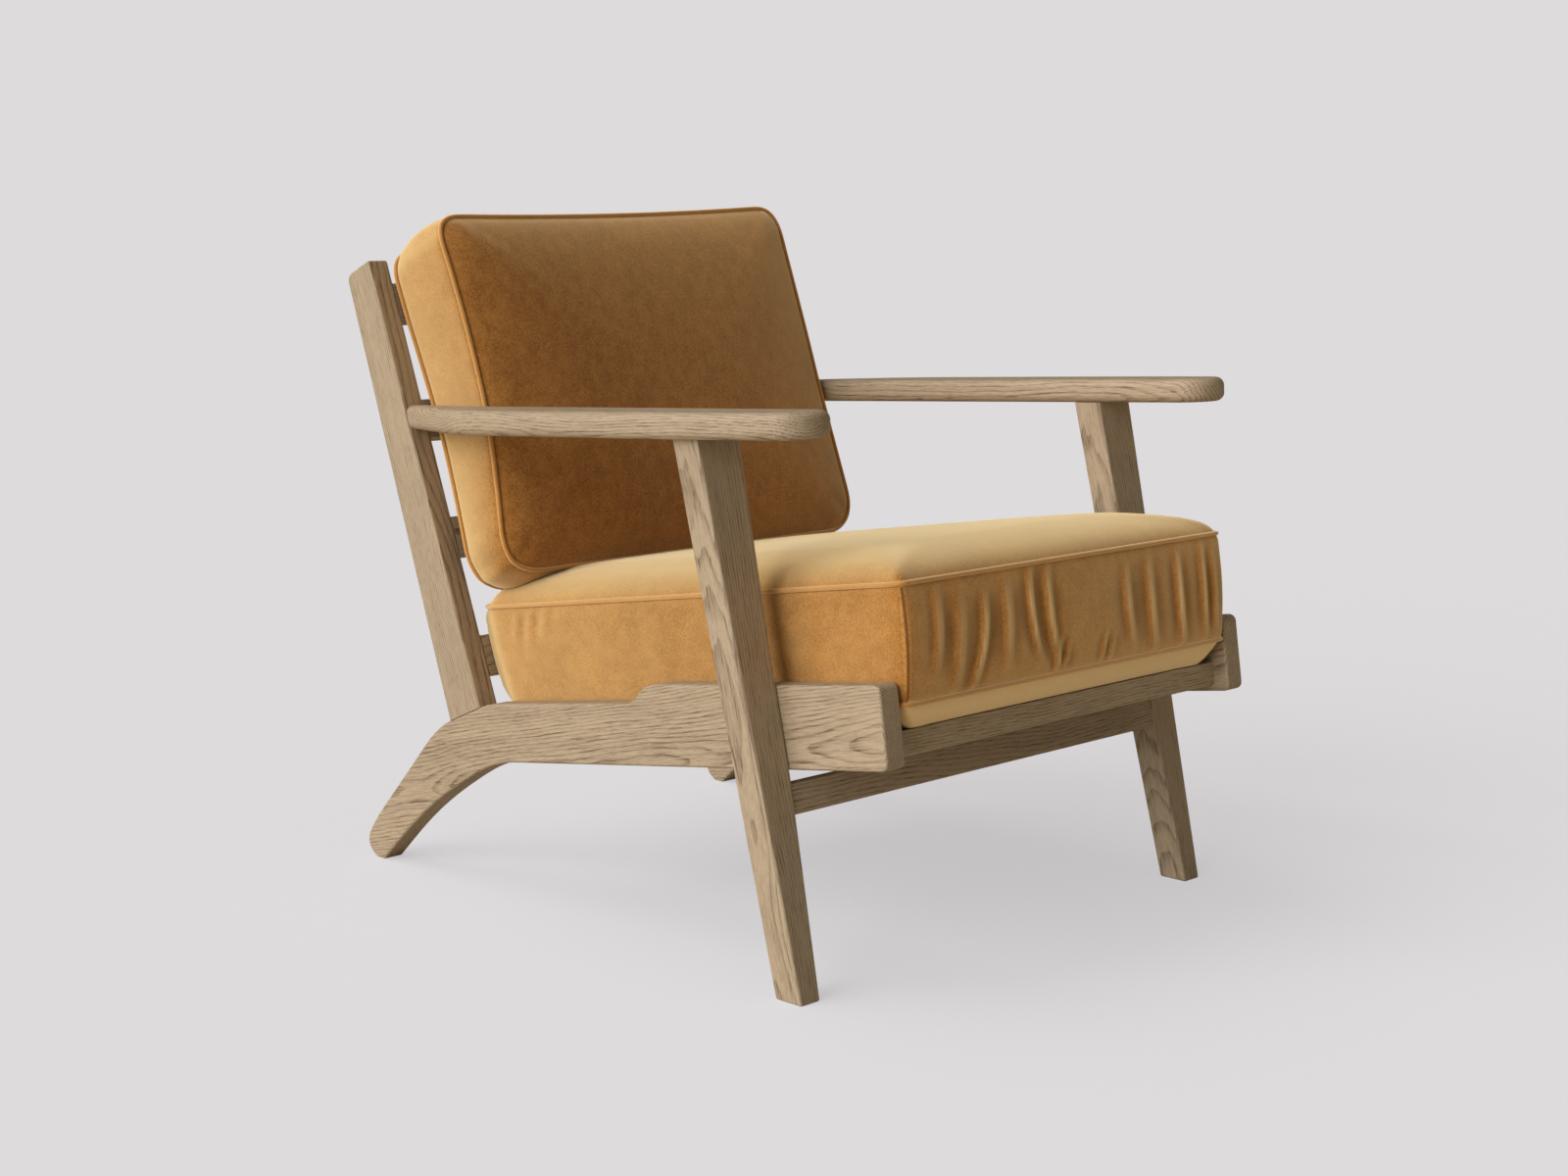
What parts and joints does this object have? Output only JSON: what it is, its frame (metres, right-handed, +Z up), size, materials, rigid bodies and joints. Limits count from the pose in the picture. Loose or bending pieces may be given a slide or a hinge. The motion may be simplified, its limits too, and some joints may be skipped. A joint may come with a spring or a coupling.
{
  "type": "wooden armchair",
  "caption": "Low lounge armchair: slatted oak frame with flat paddle arms, raked front legs, swept rear feet, loose boxed velvet seat and back cushions.",
  "frame": {"origin": "on the floor, under the middle of the chair's width and depth", "axes": "+Z up, -Y the way the chair faces, +X to the right of someone who stands in front of it"},
  "size_m": [0.7544, 0.8779, 0.7819],
  "materials": {
    "oak": "matte",
    "dowel": "matte",
    "velvet": "matte",
    "foam": "matte",
    "steel": "satin"
  },
  "bodies": {
    "frame": {"arm_leg_dowels": "dowel", "arm_post_dowels": "dowel", "armrest_left": "oak", "armrest_right": "oak", "back_post_left": "oak", "back_post_right": "oak", "back_slat_1": "oak", "back_slat_2": "oak", "back_slat_3": "oak", "back_slat_4": "oak", "back_slat_dowels": "dowel", "cleat_screws": "steel", "front_leg_left": "oak", "front_leg_right": "oak", "front_seat_rail": "oak", "front_stretcher": "oak", "leg_bolts": "steel", "leg_inserts": "steel", "leg_washers": "steel", "post_rail_dowels": "dowel", "rear_seat_rail": "oak", "seat_cleat_left": "oak", "seat_cleat_right": "oak", "seat_rail_dowels": "dowel", "seat_slat_1": "oak", "seat_slat_2": "oak", "seat_slat_3": "oak", "seat_slat_4": "oak", "seat_slat_5": "oak", "seat_slat_6": "oak", "seat_slat_screws": "steel", "side_rail_left": "oak", "side_rail_right": "oak", "stretcher_dowels": "dowel"},
    "seat_cushion": {"seat_cushion_cover": "velvet", "seat_cushion_core": "foam"},
    "back_cushion": {"back_cushion_cover": "velvet", "back_cushion_core": "foam"}
  },
  "joints": [
    {"name": "seat_cushion_slide", "type": "slide", "parent": "frame", "child": "seat_cushion", "axis": [0, -0.9895, 0.1444], "range_m": [0, 0.35]},
    {"name": "back_cushion_lift", "type": "slide", "parent": "frame", "child": "back_cushion", "axis": [0, 0.3576, 0.9339], "range_m": [0, 0.3]}
  ]
}
